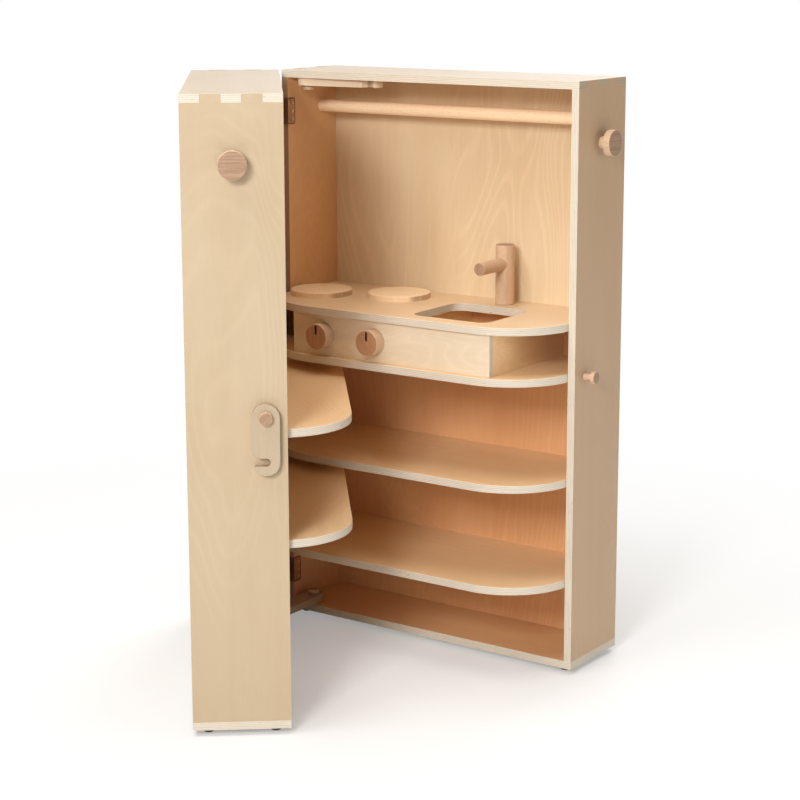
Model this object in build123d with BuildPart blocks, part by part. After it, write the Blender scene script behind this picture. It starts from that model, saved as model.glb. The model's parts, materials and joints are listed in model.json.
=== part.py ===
"""Play kitchen that folds shut like an upright trunk: a kitchen half and a door half on three hinges.

Lengths are in millimetres. Each half has its own frame: X runs along its width from the hinge side,
Y runs from its open rim, and Z runs up from the underside of its bottom panel. The kitchen half's
depth lies along its +Y and the door half's along its -Y, so the two halves close face to face.
The row's origin is the centre of the footprint on the floor, with the door half at its rest opening.
"""

from build123d import *
from math import cos, radians, sin
import os

# Trunk halves
width = 550.0
height = 900.0
depth = 140.0
ply = 12.0
halves_gap = 3.0
rest_opening = 51.0
finger_count = 5

# Feet
foot_radius = 8.0
foot_height = 9.0
foot_inset = 22.0
foot_ease = 3.0

# Boards, by the height of their upper face above the underside of the half
worktop_top = 541.0
unit_floor_top = 463.5
upper_shelf_top = 301.0
lower_shelf_top = 142.0
door_upper_shelf_top = 435.0
door_lower_shelf_top = 275.0
kitchen_reach = 98.0
door_reach = 94.0
corner_inset = 12.0
edge_ease = 0.8

# Gap under the pieces that turn on a board
turning_gap = 0.5

# Dowels that carry the boards
dowel_radius = 4.0
dowel_in_wall = 8.0
dowel_in_board = 22.0
dowel_end_gap = 0.5
dowel_from_ends = 44.0
glue_gap = 0.05

# Sink and hob unit under the worktop
unit_ply = 9.0
left_nook_width = 76.0
right_nook_width = 83.0
fascia_setback = 9.0
divider_from_left = 187.0
sink_x = 366.0
sink_y = -3.0
sink_length = 138.0
sink_depth = 132.0
sink_corner = 20.0
hob_radius = 50.0
hob_thickness = 9.0
hob_ease = 1.5
left_hob_x = 70.0
left_hob_y = 8.0
right_hob_x = 193.0
right_hob_y = 52.0

# Control knobs
knob_radius = 20.0
knob_length = 20.0
knob_first = 59.0
knob_pitch = 97.0
knob_ease = 1.0
marker_length = 15.0
marker_width = 4.5
marker_depth = 3.0
marker_from_edge = 2.0
bolt_radius = 3.0
bolt_in_knob = 14.0
bolt_head_radius = 7.0
bolt_head_height = 3.0

# Faucet
post_radius = 15.0
post_height = 94.0
post_y = 95.0
spout_radius = 10.0
spout_height = 64.0
spout_reach = 75.0
spout_seat = 8.0
faucet_ease = 1.0
pin_radius = 5.0
pin_in_post = 30.0
pin_flange_radius = 9.0
pin_flange_height = 3.0

# Hanging rail
rail_radius = 10.0
rail_y = 90.0
rail_drop = 50.0
rail_seat = 4.0

# Grips near the top of the two end walls
grip_drop = 94.0
grip_stem_radius = 9.5
grip_stem_length = 12.0
grip_head_radius = 20.0
grip_head_length = 11.0
grip_tenon_radius = 5.0
grip_tenon_length = 9.0
grip_ease = 1.5

# Pegs that carry the latch bar and the stay bars, and the peg that the latch hooks over
peg_stem_radius = 5.25
peg_head_radius = 9.5
peg_head_length = 6.0
peg_tenon_length = 9.0
peg_ease = 1.0
peg_slack = 1.5

# Latch bar and stay bars
bar_thickness = 12.0
bar_ease = 0.8
pivot_gap = 0.08
hook_gap = 0.5
mouth_slant_depth = 10.0
mouth_slant_height = 6.5
tip_round = 3.0
latch_radius = 19.25
latch_height = 457.0
latch_from_rim = 30.0
stay_radius = 16.5
stay_spacing = 120.0
stay_x = 38.0
stay_y = 20.0
top_stay_turn = 6.0

# Hinges
leaf_length = 42.0
leaf_width = 17.0
leaf_thickness = 1.2
leaf_corner = 3.0
barrel_radius = 3.0
hinge_pin_radius = 1.5
hinge_pin_out = 3.0
pin_head_radius = 2.4
pin_head_height = 0.9
knuckle_count = 5
knuckle_gap = 0.3
running_gap = 0.05
corner_gap = 0.4
hinge_from_end = 66.0
middle_hinge_rise = 25.0
screw_pitch = 13.0
screw_radius = 1.5
screw_length = 9.0
screw_head_radius = 3.0
screw_head_height = 0.9

# Values that follow from the sizes above
BACK = 1
FRONT = -1
peg_stem_length = turning_gap + bar_thickness + peg_slack
grip_reach = grip_stem_length + grip_head_length
latch_spacing = 2 * latch_from_rim + halves_gap
inner_right = width - ply
inner_back = depth - ply
inner_top = height - ply
unit_left = ply + left_nook_width
unit_right = inner_right - right_nook_width
fascia_front = fascia_setback - kitchen_reach
fascia_back = fascia_front + unit_ply
unit_top = worktop_top - ply
knob_height = (unit_floor_top + unit_top) / 2
rail_height = inner_top - rail_drop
grip_height = height - grip_drop
knob_places = [unit_left + knob_first, unit_left + knob_first + knob_pitch]
finger_width = depth / finger_count
kitchen_boards = [worktop_top, unit_floor_top, upper_shelf_top, lower_shelf_top]
door_boards = [door_upper_shelf_top, door_lower_shelf_top]
hinge_heights = {
    "bottom": hinge_from_end,
    "middle": unit_floor_top + middle_hinge_rise,
    "top": height - hinge_from_end,
}


def swung(x, y):
    """Where a point of the closed door half, in the kitchen half's frame, lies at the rest opening."""
    turn = radians(rest_opening)
    along = x + hinge_pin_out
    across = y + halves_gap / 2
    return (
        -hinge_pin_out + along * cos(turn) + across * sin(turn),
        -halves_gap / 2 - along * sin(turn) + across * cos(turn),
    )


# Frames of the two halves
low_x = swung(0, -halves_gap - depth)[0]
low_y = swung(width, -halves_gap - depth)[1]
kitchen_x = -(low_x + width + grip_reach) / 2
kitchen_y = -(low_y + depth) / 2
door_x, door_y = swung(0, -halves_gap)
kitchen = Plane(origin=(kitchen_x, kitchen_y, foot_height), x_dir=(1, 0, 0), z_dir=(0, 0, 1))
door = Plane(
    origin=(kitchen_x + door_x, kitchen_y + door_y, foot_height),
    x_dir=(cos(radians(rest_opening)), -sin(radians(rest_opening)), 0),
    z_dir=(0, 0, 1),
)


def end_plane(half, x, y, z):
    """A plane that faces along the half's width, with its own X along the depth and its Y up."""
    return Plane(origin=half.from_local_coords((x, y, z)), x_dir=half.y_dir, z_dir=half.x_dir)


def front_plane(half, x, y, z):
    """A plane that faces out of the kitchen half's front, with its own X along the width and its Y up."""
    return Plane(origin=half.from_local_coords((x, y, z)), x_dir=half.x_dir, z_dir=-half.y_dir)


def block(plane, x_span, y_span, z_span, mode=Mode.ADD):
    """A rectangular block between two corners in the plane's own frame."""
    with BuildSketch(plane.offset(z_span[0])) as outline:
        with Locations(((x_span[0] + x_span[1]) / 2, (y_span[0] + y_span[1]) / 2)):
            Rectangle(abs(x_span[1] - x_span[0]), abs(y_span[1] - y_span[0]))
    extrude(outline.sketch, amount=z_span[1] - z_span[0], mode=mode)


def rod(plane, radius, low, high, mode=Mode.ADD):
    """A round bar, or a hole, along the plane's normal and about its origin."""
    with BuildSketch(plane.offset(low)) as outline:
        Circle(radius)
    extrude(outline.sketch, amount=high - low, mode=mode)


def rim_edges(builder, plane, height):
    """The round edges of a part that lie at one height above the plane."""
    return builder.edges().filter_by(GeomType.CIRCLE).filter_by(
        lambda edge: abs(plane.to_local_coords(edge.arc_center).Z - height) < 0.001
    )


def finish(piece, name):
    """Names a finished piece and writes it."""
    piece.label = name
    export_step(piece, f"parts/{name}.step")


def wall_body(half, into, x):
    """A side wall that stands on the bottom panel, notched for the top panel's fingers."""
    block(half, (x, x + ply), (0, into * depth), (ply, height))
    for step in range(0, finger_count, 2):
        span = (into * finger_width * step, into * finger_width * (step + 1))
        block(half, (x, x + ply), span, (inner_top, height), Mode.SUBTRACT)


def dowel_planes(half, into, x, tops):
    """The frames of the dowels that carry the boards at one wall face."""
    for top in tops:
        for y in (dowel_from_ends, inner_back - dowel_from_ends):
            yield end_plane(half, x, into * y, top - ply / 2)


def dowel_holes(half, into, tops, into_wall):
    """Cuts the dowel holes of both wall faces, in the walls or in the boards' ends."""
    reach = dowel_in_wall if into_wall else dowel_in_board
    for x, outward in ((ply, -1), (inner_right, 1)):
        side = outward if into_wall else -outward
        for plane in dowel_planes(half, into, x, tops):
            rod(plane, dowel_radius + glue_gap, 0, side * reach, Mode.SUBTRACT)


def screw_planes(half, into, z):
    """The frames of a hinge leaf's screws, on the inner face of the hinge wall."""
    for step in (-1, 0, 1):
        yield end_plane(half, ply, into * leaf_width / 2, z + step * screw_pitch)


def screw_holes(half, into):
    """Pilot holes in a hinge wall for the screws of its three leaves."""
    for z in hinge_heights.values():
        for plane in screw_planes(half, into, z):
            rod(plane, screw_radius, leaf_thickness - screw_length, 0, Mode.SUBTRACT)


def bore(plane, radius, deep):
    """A blind round hole that goes down from the plane, with a gap for the glue."""
    rod(plane, radius + glue_gap, -deep, 0, Mode.SUBTRACT)


def top_panel(half, into, name, peg=None):
    """A top panel whose fingers pass through both side walls."""
    with BuildPart() as panel:
        block(half, (0, width), (0, into * depth), (inner_top, height))
        for x in (0, inner_right):
            for step in range(1, finger_count, 2):
                span = (into * finger_width * step, into * finger_width * (step + 1))
                block(half, (x, x + ply), span, (inner_top, height), Mode.SUBTRACT)
        if peg is not None:
            bore(peg, peg_stem_radius, peg_tenon_length)
    finish(panel.part, name)


def bottom_panel(half, into, name, peg=None):
    """A bottom panel that runs under both side walls."""
    with BuildPart() as panel:
        block(half, (0, width), (0, into * depth), (0, ply))
        if peg is not None:
            bore(peg, peg_stem_radius, peg_tenon_length)
    finish(panel.part, name)


def back_panel(half, into, name):
    """A back panel set in between the other four panels."""
    with BuildPart() as panel:
        block(half, (ply, inner_right), (into * inner_back, into * depth), (ply, inner_top))
    finish(panel.part, name)


def board_body(half, into, reach, top):
    """A board that fills the half's depth and stands out past its rim, its front corners rounded."""
    with BuildSketch(half.offset(top - ply)) as outline:
        with Locations((width / 2, into * (inner_back - reach) / 2)):
            Rectangle(inner_right - ply, inner_back + reach)
        front = outline.vertices().group_by(Axis.Y)[0 if into == BACK else -1]
        fillet(front, reach + corner_inset)
    extrude(outline.sketch, amount=ply)


def ease_board(board, half, into):
    """Eases the upper and lower edges of a board where they stand out past the rim."""
    level = board.edges().filter_by(Axis.Z, reverse=True)
    proud = level.filter_by(lambda edge: into * half.to_local_coords(edge.center()).Y < 0)
    fillet(proud, edge_ease)


def shelf(half, into, reach, top, name):
    """A plain shelf on its dowels."""
    with BuildPart() as piece:
        board_body(half, into, reach, top)
        ease_board(piece, half, into)
        dowel_holes(half, into, [top], False)
    finish(piece.part, name)


def board_dowels(half, into, tops, name):
    """The dowels between the walls and the boards of one half."""
    with BuildPart() as pins:
        for x, outward in ((ply, -1), (inner_right, 1)):
            wall_end = outward * (dowel_in_wall - dowel_end_gap)
            board_end = -outward * (dowel_in_board - dowel_end_gap)
            for plane in dowel_planes(half, into, x, tops):
                rod(plane, dowel_radius, min(wall_end, board_end), max(wall_end, board_end))
    finish(pins.part, name)


def feet(half, into, name):
    """Four round pads under the corners of a bottom panel."""
    with BuildPart() as pads:
        for x in (foot_inset, width - foot_inset):
            for y in (foot_inset, depth - foot_inset):
                pad = Plane(
                    origin=half.from_local_coords((x, into * y, 0)),
                    x_dir=half.x_dir,
                    z_dir=-half.z_dir,
                )
                rod(pad, foot_radius, 0, foot_height)
                fillet(rim_edges(pads, pad, foot_height), foot_ease)
    finish(pads.part, name)


def peg(plane, name):
    """A turned peg with a flat round head and a tenon, which stands out along the plane's normal."""
    top = peg_stem_length + peg_head_length
    with BuildPart() as piece:
        rod(plane, peg_stem_radius, -peg_tenon_length, peg_stem_length)
        rod(plane, peg_head_radius, peg_stem_length, top)
        fillet(rim_edges(piece, plane, top), peg_ease)
    finish(piece.part, name)


def grip(plane, name):
    """A mushroom grip with a tenon, which stands out along the plane's normal."""
    with BuildPart() as piece:
        rod(plane, grip_tenon_radius, -grip_tenon_length, 0)
        rod(plane, grip_stem_radius, 0, grip_stem_length)
        rod(plane, grip_head_radius, grip_stem_length, grip_reach)
        fillet(rim_edges(piece, plane, grip_reach), grip_ease)
    finish(piece.part, name)


def hook_bar(plane, radius, spacing, mouth, name):
    """A round-ended bar that turns on a peg. Its far end has a slot open to one side, to hook a peg.

    The plane's origin is the pivot, its X points to the far end, and mouth is the side of its Y
    that the slot opens to. The slot's side nearer the pivot slants back at the mouth.
    """
    slot_radius = peg_stem_radius + hook_gap
    lip = spacing - slot_radius
    with BuildPart() as bar:
        with BuildSketch(plane.offset(turning_gap)) as outline:
            with Locations((spacing / 2, 0)):
                SlotCenterToCenter(spacing, 2 * radius)
            with Locations((spacing, 0)):
                Circle(slot_radius, mode=Mode.SUBTRACT)
            with Locations((spacing, mouth * radius)):
                Rectangle(2 * slot_radius, 2 * radius, mode=Mode.SUBTRACT)
            Polygon(
                (lip, mouth * (radius - mouth_slant_depth)),
                (lip, mouth * radius),
                (lip - mouth_slant_height, mouth * radius),
                align=None,
                mode=Mode.SUBTRACT,
            )
            tip = outline.vertices().filter_by(
                lambda corner: abs(corner.X - spacing - slot_radius) < 0.01
                and mouth * corner.Y > radius / 2
            )
            fillet(tip, tip_round)
        extrude(outline.sketch, amount=bar_thickness)
        flat = bar.faces().filter_by(lambda face: abs(face.normal_at().dot(plane.z_dir)) > 0.99)
        chamfer(flat.edges().filter_by(GeomType.CIRCLE, reverse=True), bar_ease / 2)
        rod(plane, peg_stem_radius + pivot_gap, 0, peg_stem_length, Mode.SUBTRACT)
    finish(bar.part, name)


def knuckles(parity):
    """The heights of the barrel segments of one leaf, from the leaf's middle."""
    step = leaf_length / knuckle_count
    for index in range(parity, knuckle_count, 2):
        low = -leaf_length / 2 + index * step
        yield low + knuckle_gap / 2, low + step - knuckle_gap / 2


def hinge_leaf(half, into, z, parity, name):
    """A hinge leaf on the wall's inner face, with a web across the wall's edge to the barrel outside."""
    middle = half.offset(z)
    axis = Plane(
        origin=middle.from_local_coords((-hinge_pin_out, -into * halves_gap / 2, 0)),
        x_dir=half.x_dir,
        z_dir=half.z_dir,
    )
    web = (0, -into * leaf_thickness)
    with BuildPart() as leaf:
        block(
            middle,
            (ply, ply + leaf_thickness),
            (-into * leaf_thickness, into * leaf_width),
            (-leaf_length / 2, leaf_length / 2),
        )
        across = leaf.edges().filter_by(Axis(half.origin, half.x_dir))
        corners = across.filter_by(
            lambda edge: into * half.to_local_coords(edge.center()).Y > leaf_width - leaf_thickness
        )
        fillet(corners, leaf_corner)
        block(middle, (corner_gap, ply), web, (-leaf_length / 2, leaf_length / 2))
        for low, high in knuckles(parity):
            block(middle, (-hinge_pin_out, corner_gap), web, (low, high))
            rod(axis, barrel_radius, low, high)
        rod(axis, hinge_pin_radius + running_gap, -leaf_length, leaf_length, Mode.SUBTRACT)
        for plane in screw_planes(half, into, z):
            rod(plane, screw_radius + running_gap, 0, leaf_thickness, Mode.SUBTRACT)
    finish(leaf.part, name)


def hinge_pin(z, name):
    """A hinge pin, with a head at each end of the barrel."""
    axis = Plane(
        origin=kitchen.from_local_coords((-hinge_pin_out, -halves_gap / 2, z)),
        x_dir=kitchen.x_dir,
        z_dir=kitchen.z_dir,
    )
    half_length = leaf_length / 2
    with BuildPart() as pin:
        rod(axis, hinge_pin_radius, -half_length, half_length)
        rod(axis, pin_head_radius, half_length, half_length + pin_head_height)
        rod(axis, pin_head_radius, -half_length - pin_head_height, -half_length)
    finish(pin.part, name)


def hinge_screws(half, into, name):
    """The screws that hold the three leaves to one hinge wall."""
    with BuildPart() as screws:
        for z in hinge_heights.values():
            for plane in screw_planes(half, into, z):
                rod(plane, screw_radius, leaf_thickness - screw_length, leaf_thickness)
                rod(plane, screw_head_radius, leaf_thickness, leaf_thickness + screw_head_height)
    finish(screws.part, name)


os.makedirs("parts", exist_ok=True)

# Frames of the pegs and grips
kitchen_grip_plane = end_plane(kitchen, width, depth / 2, grip_height)
door_grip_plane = end_plane(door, width, -depth / 2, grip_height)
catch_plane = end_plane(kitchen, width, latch_from_rim, latch_height)
latch_plane = end_plane(door, width, -latch_from_rim, latch_height)
bottom_stay_plane = Plane(
    origin=kitchen.from_local_coords((stay_x, stay_y, ply)),
    x_dir=kitchen.x_dir,
    z_dir=kitchen.z_dir,
)
top_stay_plane = Plane(
    origin=kitchen.from_local_coords((stay_x, stay_y, inner_top)),
    x_dir=kitchen.x_dir,
    z_dir=-kitchen.z_dir,
)

# Panels of the two halves
top_panel(kitchen, BACK, "kitchen_top_panel", top_stay_plane)
bottom_panel(kitchen, BACK, "kitchen_bottom_panel", bottom_stay_plane)
back_panel(kitchen, BACK, "kitchen_back_panel")
top_panel(door, FRONT, "door_top_panel")
bottom_panel(door, FRONT, "door_bottom_panel")
back_panel(door, FRONT, "door_back_panel")

rail_left = end_plane(kitchen, ply, rail_y, rail_height)
rail_right = end_plane(kitchen, inner_right, rail_y, rail_height)

with BuildPart() as kitchen_hinge_wall:
    wall_body(kitchen, BACK, 0)
    dowel_holes(kitchen, BACK, kitchen_boards, True)
    screw_holes(kitchen, BACK)
    bore(rail_left, rail_radius, rail_seat)
finish(kitchen_hinge_wall.part, "kitchen_hinge_wall")

with BuildPart() as kitchen_latch_wall:
    wall_body(kitchen, BACK, inner_right)
    dowel_holes(kitchen, BACK, kitchen_boards, True)
    rod(rail_right, rail_radius + glue_gap, 0, rail_seat, Mode.SUBTRACT)
    bore(kitchen_grip_plane, grip_tenon_radius, grip_tenon_length)
    bore(catch_plane, peg_stem_radius, peg_tenon_length)
finish(kitchen_latch_wall.part, "kitchen_latch_wall")

with BuildPart() as door_hinge_wall:
    wall_body(door, FRONT, 0)
    dowel_holes(door, FRONT, door_boards, True)
    screw_holes(door, FRONT)
finish(door_hinge_wall.part, "door_hinge_wall")

with BuildPart() as door_latch_wall:
    wall_body(door, FRONT, inner_right)
    dowel_holes(door, FRONT, door_boards, True)
    bore(door_grip_plane, grip_tenon_radius, grip_tenon_length)
    bore(latch_plane, peg_stem_radius, peg_tenon_length)
finish(door_latch_wall.part, "door_latch_wall")

# Shelves, their dowels and the feet
shelf(kitchen, BACK, kitchen_reach, upper_shelf_top, "kitchen_upper_shelf")
shelf(kitchen, BACK, kitchen_reach, lower_shelf_top, "kitchen_lower_shelf")
shelf(kitchen, BACK, kitchen_reach, unit_floor_top, "unit_floor_board")
shelf(door, FRONT, door_reach, door_upper_shelf_top, "door_upper_shelf")
shelf(door, FRONT, door_reach, door_lower_shelf_top, "door_lower_shelf")
board_dowels(kitchen, BACK, kitchen_boards, "kitchen_board_dowels")
board_dowels(door, FRONT, door_boards, "door_board_dowels")
feet(kitchen, BACK, "kitchen_feet")
feet(door, FRONT, "door_feet")

# Worktop, with the sink opening and the hole for the faucet's pin
faucet_plane = Plane(
    origin=kitchen.from_local_coords((sink_x, post_y, worktop_top)),
    x_dir=kitchen.x_dir,
    z_dir=kitchen.z_dir,
)
with BuildPart() as worktop:
    board_body(kitchen, BACK, kitchen_reach, worktop_top)
    ease_board(worktop, kitchen, BACK)
    dowel_holes(kitchen, BACK, [worktop_top], False)
    with BuildSketch(kitchen.offset(unit_top)) as sink_outline:
        with Locations((sink_x, sink_y)):
            RectangleRounded(sink_length, sink_depth, sink_corner)
    extrude(sink_outline.sketch, amount=ply, mode=Mode.SUBTRACT)
    bore(faucet_plane, pin_radius, ply)
finish(worktop.part, "worktop")

# Fascia and the upright panels of the unit
knob_planes = [front_plane(kitchen, x, fascia_front, knob_height) for x in knob_places]
with BuildPart() as fascia:
    block(kitchen, (unit_left, unit_right), (fascia_front, fascia_back), (unit_floor_top, unit_top))
    for knob_plane in knob_planes:
        bore(knob_plane, bolt_radius, unit_ply)
finish(fascia.part, "fascia")

upright_places = {
    "unit_left_side": unit_left,
    "unit_divider": unit_left + divider_from_left,
    "unit_right_side": unit_right - unit_ply,
}
for name, x in upright_places.items():
    with BuildPart() as upright:
        block(kitchen, (x, x + unit_ply), (fascia_back, inner_back), (unit_floor_top, unit_top))
    finish(upright.part, name)

# Hob discs
hob_places = {"left_hob_disc": (left_hob_x, left_hob_y), "right_hob_disc": (right_hob_x, right_hob_y)}
for name, (x, y) in hob_places.items():
    hob_plane = Plane(
        origin=kitchen.from_local_coords((x, y, worktop_top)),
        x_dir=kitchen.x_dir,
        z_dir=kitchen.z_dir,
    )
    with BuildPart() as hob_disc:
        rod(hob_plane, hob_radius, 0, hob_thickness)
        fillet(rim_edges(hob_disc, hob_plane, hob_thickness), hob_ease)
    finish(hob_disc.part, name)

# Control knobs, each on a bolt that comes through the fascia
for name, knob_plane in zip(("left", "right"), knob_planes):
    knob_back = knob_plane.offset(turning_gap)
    with BuildPart() as knob:
        rod(knob_back, knob_radius, 0, knob_length)
        fillet(rim_edges(knob, knob_back, knob_length), knob_ease)
        rod(knob_back, bolt_radius + running_gap, 0, bolt_in_knob, Mode.SUBTRACT)
        with BuildSketch(knob_back.offset(knob_length)) as marker:
            with Locations((0, knob_radius - marker_from_edge - marker_length / 2)):
                SlotOverall(marker_length, marker_width, rotation=90)
        extrude(marker.sketch, amount=-marker_depth, mode=Mode.SUBTRACT)
    finish(knob.part, f"{name}_control_knob")
    with BuildPart() as bolt:
        rod(knob_plane, bolt_radius, -unit_ply, turning_gap + bolt_in_knob - dowel_end_gap)
        rod(knob_plane, bolt_head_radius, -unit_ply - bolt_head_height, -unit_ply)
    finish(bolt.part, f"{name}_knob_bolt")

# Faucet, which turns on a flanged pin
spout_plane = Plane(
    origin=faucet_plane.from_local_coords((0, 0, spout_height)),
    x_dir=kitchen.x_dir,
    z_dir=-kitchen.y_dir,
)
spout_start = post_radius - spout_seat
with BuildPart() as faucet_post:
    rod(faucet_plane, post_radius, turning_gap, post_height)
    fillet(rim_edges(faucet_post, faucet_plane, post_height), faucet_ease)
    rod(faucet_plane, pin_radius + running_gap, turning_gap, pin_in_post, Mode.SUBTRACT)
    rod(spout_plane, spout_radius + glue_gap, spout_start, spout_reach, Mode.SUBTRACT)
finish(faucet_post.part, "faucet_post")

with BuildPart() as faucet_spout:
    rod(spout_plane, spout_radius, spout_start, spout_reach)
    fillet(rim_edges(faucet_spout, spout_plane, spout_reach), faucet_ease)
finish(faucet_spout.part, "faucet_spout")

with BuildPart() as faucet_pin:
    rod(faucet_plane, pin_radius, -ply, pin_in_post - dowel_end_gap)
    rod(faucet_plane, pin_flange_radius, -ply - pin_flange_height, -ply)
finish(faucet_pin.part, "faucet_pin")

# Hanging rail
with BuildPart() as hanging_rail:
    rod(rail_left, rail_radius, -rail_seat, inner_right - ply + rail_seat)
finish(hanging_rail.part, "hanging_rail")

# Grips, pegs, latch bar and stay bars
grip(kitchen_grip_plane, "kitchen_grip")
grip(door_grip_plane, "door_grip")
peg(catch_plane, "latch_catch_peg")
peg(latch_plane, "latch_pivot_peg")
peg(bottom_stay_plane, "bottom_stay_peg")
peg(top_stay_plane, "top_stay_peg")

latch_bar_plane = Plane(origin=latch_plane.origin, x_dir=-door.z_dir, z_dir=door.x_dir)
hook_bar(latch_bar_plane, latch_radius, latch_spacing, FRONT, "latch_bar")
bottom_bar_plane = Plane(
    origin=bottom_stay_plane.origin, x_dir=-kitchen.y_dir, z_dir=kitchen.z_dir
)
hook_bar(bottom_bar_plane, stay_radius, stay_spacing, FRONT, "bottom_stay_bar")
top_bar_plane = Plane(
    origin=top_stay_plane.origin,
    x_dir=kitchen.x_dir.rotate(Axis.Z, top_stay_turn),
    z_dir=-kitchen.z_dir,
)
hook_bar(top_bar_plane, stay_radius, stay_spacing, BACK, "top_stay_bar")

# Hinges
for place, z in hinge_heights.items():
    hinge_leaf(kitchen, BACK, z, 0, f"{place}_hinge_kitchen_leaf")
    hinge_leaf(door, FRONT, z, 1, f"{place}_hinge_door_leaf")
    hinge_pin(z, f"{place}_hinge_pin")
hinge_screws(kitchen, BACK, "kitchen_hinge_screws")
hinge_screws(door, FRONT, "door_hinge_screws")
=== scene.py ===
import json
import math

import bpy
import numpy as np
from bpy.props import (
    FloatProperty,
    FloatVectorProperty,
    IntProperty,
    PointerProperty,
)
from mathutils import Matrix, Vector


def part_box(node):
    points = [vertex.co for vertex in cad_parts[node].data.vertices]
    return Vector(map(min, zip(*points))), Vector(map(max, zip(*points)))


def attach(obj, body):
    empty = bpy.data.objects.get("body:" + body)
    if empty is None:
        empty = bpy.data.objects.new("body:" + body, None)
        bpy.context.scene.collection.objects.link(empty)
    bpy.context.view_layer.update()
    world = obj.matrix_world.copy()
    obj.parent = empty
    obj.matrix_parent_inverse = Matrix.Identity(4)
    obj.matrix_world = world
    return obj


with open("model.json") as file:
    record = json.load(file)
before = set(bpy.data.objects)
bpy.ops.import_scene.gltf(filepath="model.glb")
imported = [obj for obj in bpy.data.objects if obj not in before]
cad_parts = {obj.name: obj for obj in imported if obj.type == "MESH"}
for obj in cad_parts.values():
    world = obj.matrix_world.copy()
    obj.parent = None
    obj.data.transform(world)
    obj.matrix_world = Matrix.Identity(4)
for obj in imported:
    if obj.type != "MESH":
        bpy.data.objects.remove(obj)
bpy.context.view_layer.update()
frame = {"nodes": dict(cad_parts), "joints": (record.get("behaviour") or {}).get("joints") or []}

bl_info = {
    "name": "Play kitchen",
    "version": (1, 0, 0),
    "blender": (4, 5, 0),
    "location": "View3D > Sidebar > Play kitchen",
    "description": "Finishes a folding plywood play kitchen and sets it in a pale studio",
    "category": "Object",
}

WHITE = (1.0, 1.0, 1.0)
WARM = (1.0, 0.93, 0.85)
COOL = (0.98, 1.0, 1.02)

# Directions of the two halves. The door half is turned from the kitchen half by its rest opening.
JOINTS = {joint["name"]: joint for joint in frame["joints"]}
OPENING = math.radians(JOINTS["door_hinge"]["range_deg"][1])
UP = Vector((0.0, 0.0, 1.0))
KITCHEN = (Vector((1.0, 0.0, 0.0)), Vector((0.0, 1.0, 0.0)), UP)
DOOR = (
    Vector((math.cos(OPENING), -math.sin(OPENING), 0.0)),
    Vector((math.sin(OPENING), math.cos(OPENING), 0.0)),
    UP,
)

# What settings of one kind have in common.
COLOUR = {"subtype": "COLOR", "size": 3, "min": 0.0, "max": 1.0}
LENGTH = {"unit": "LENGTH", "subtype": "DISTANCE", "min": 0.0}
SHARE = {"subtype": "FACTOR", "min": 0.0, "max": 1.0}
WATTS = {"min": 0.0, "max": 1000.0}

# How often each pattern repeats in a metre, along a piece's three axes. On boards these are across
# the grain, along it and through the board, and on beech across the rings, along the grain and
# along the rings.
VENEER_FIGURE = (3.0, 0.62, 3.0)
VENEER_PATCHES = (5.0, 1.6, 5.0)
VENEER_STREAKS = (42.0, 1.0, 42.0)
VENEER_FIBRE = (850.0, 26.0, 850.0)
VENEER_CLOUDS = (8.0, 3.0, 8.0)
PLY_SHADES = (30.0, 30.0, 500.0)
PLY_GAPS = (70.0, 70.0, 900.0)
BEECH_RINGS = (260.0, 2.5, 22.0)
BEECH_FIBRE = (1500.0, 60.0, 1500.0)
BEECH_RAYS = (500.0, 170.0, 1700.0)
BEECH_END_LINES = (450.0, 3.0, 25.0)
STEEL_CLOUDS = (260.0, 260.0, 260.0)
STEEL_FINE = (2400.0, 2400.0, 2400.0)
RUBBER_GRAIN = (1800.0, 1800.0, 1800.0)
PAPER_GRAIN = (300.0, 300.0, 300.0)

GROWTH_LINES = 62.0         # contours of the veneer's figure from its lowest value to its highest
GAP_COLOUR = (0.16, 0.10, 0.06)
# Painted shade on the walls of a knob's pointer slot.
SLOT_SHADE_COLOUR = (0.11, 0.035, 0.014)
BACK_FIGURE = 1.0           # strength of the veneer's figure on the kitchen half's back panel
PANEL_FIGURE = 0.6
BOARD_FIGURE = 0.7
BEECH_CONTRAST = 0.9
SOFT_CONTRAST = 0.6         # of the pale pieces and the knobs
BAR_CONTRAST = 0.3
BAR_END_TINT = (0.94, 0.91, 0.9)
FIBRE_DEPTH = 0.00004       # of the bump of wood fibre, in metres
WOOD_SPECULAR = 0.4
FACE_LIMIT = 0.8            # how squarely a surface faces a direction to count as facing it
SHARP_ANGLE = 40.0          # edges sharper than this are eased, in degrees
BAR_SHARP_ANGLE = 50.0
METAL_EASE = 0.0002
FLAT_LIMIT = 0.95           # as FACE_LIMIT, for the flat faces of the hinge leaves
STEEL_METALLIC = 0.6
STEEL_DEPTH = 0.000004
STEEL_ROUGHNESS = 0.36
SCREW_ROUGHNESS = 0.30
SCREW_RADIUS = 0.0030
SCREW_HEIGHT = 0.00135
RUBBER_DEPTH = 0.00003
RUBBER_ROUGHNESS = 0.55
POINTER_FACE = -0.0098      # where a knob's front face begins, from its middle along its axis
POINTER_REACH = 0.0184      # radius on that face within which its pointer slot lies
HINGE_PLACES = ("bottom", "middle", "top")
FLUSH = 0.00001             # points nearer than this are taken as level, or as one
FLAT_ANGLE = 0.5            # faces nearer to one plane than this are joined, in degrees
SPOT_STEP = 0.004           # heights further apart than this belong to two screws

# The first pattern seed of each group of pieces, and the step from one piece to the next.
SEEDS = {"panels": (3.0, 2.7), "boards": (41.0, 3.3), "turned": (5.0, 1.9), "bars": (60.0, 7.1)}
DOOR_SEED_SHIFT = 17.0
LEAF_SEED = 3.0
PIN_SEED = 5.0
SCREW_SEED = 9.0

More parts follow.
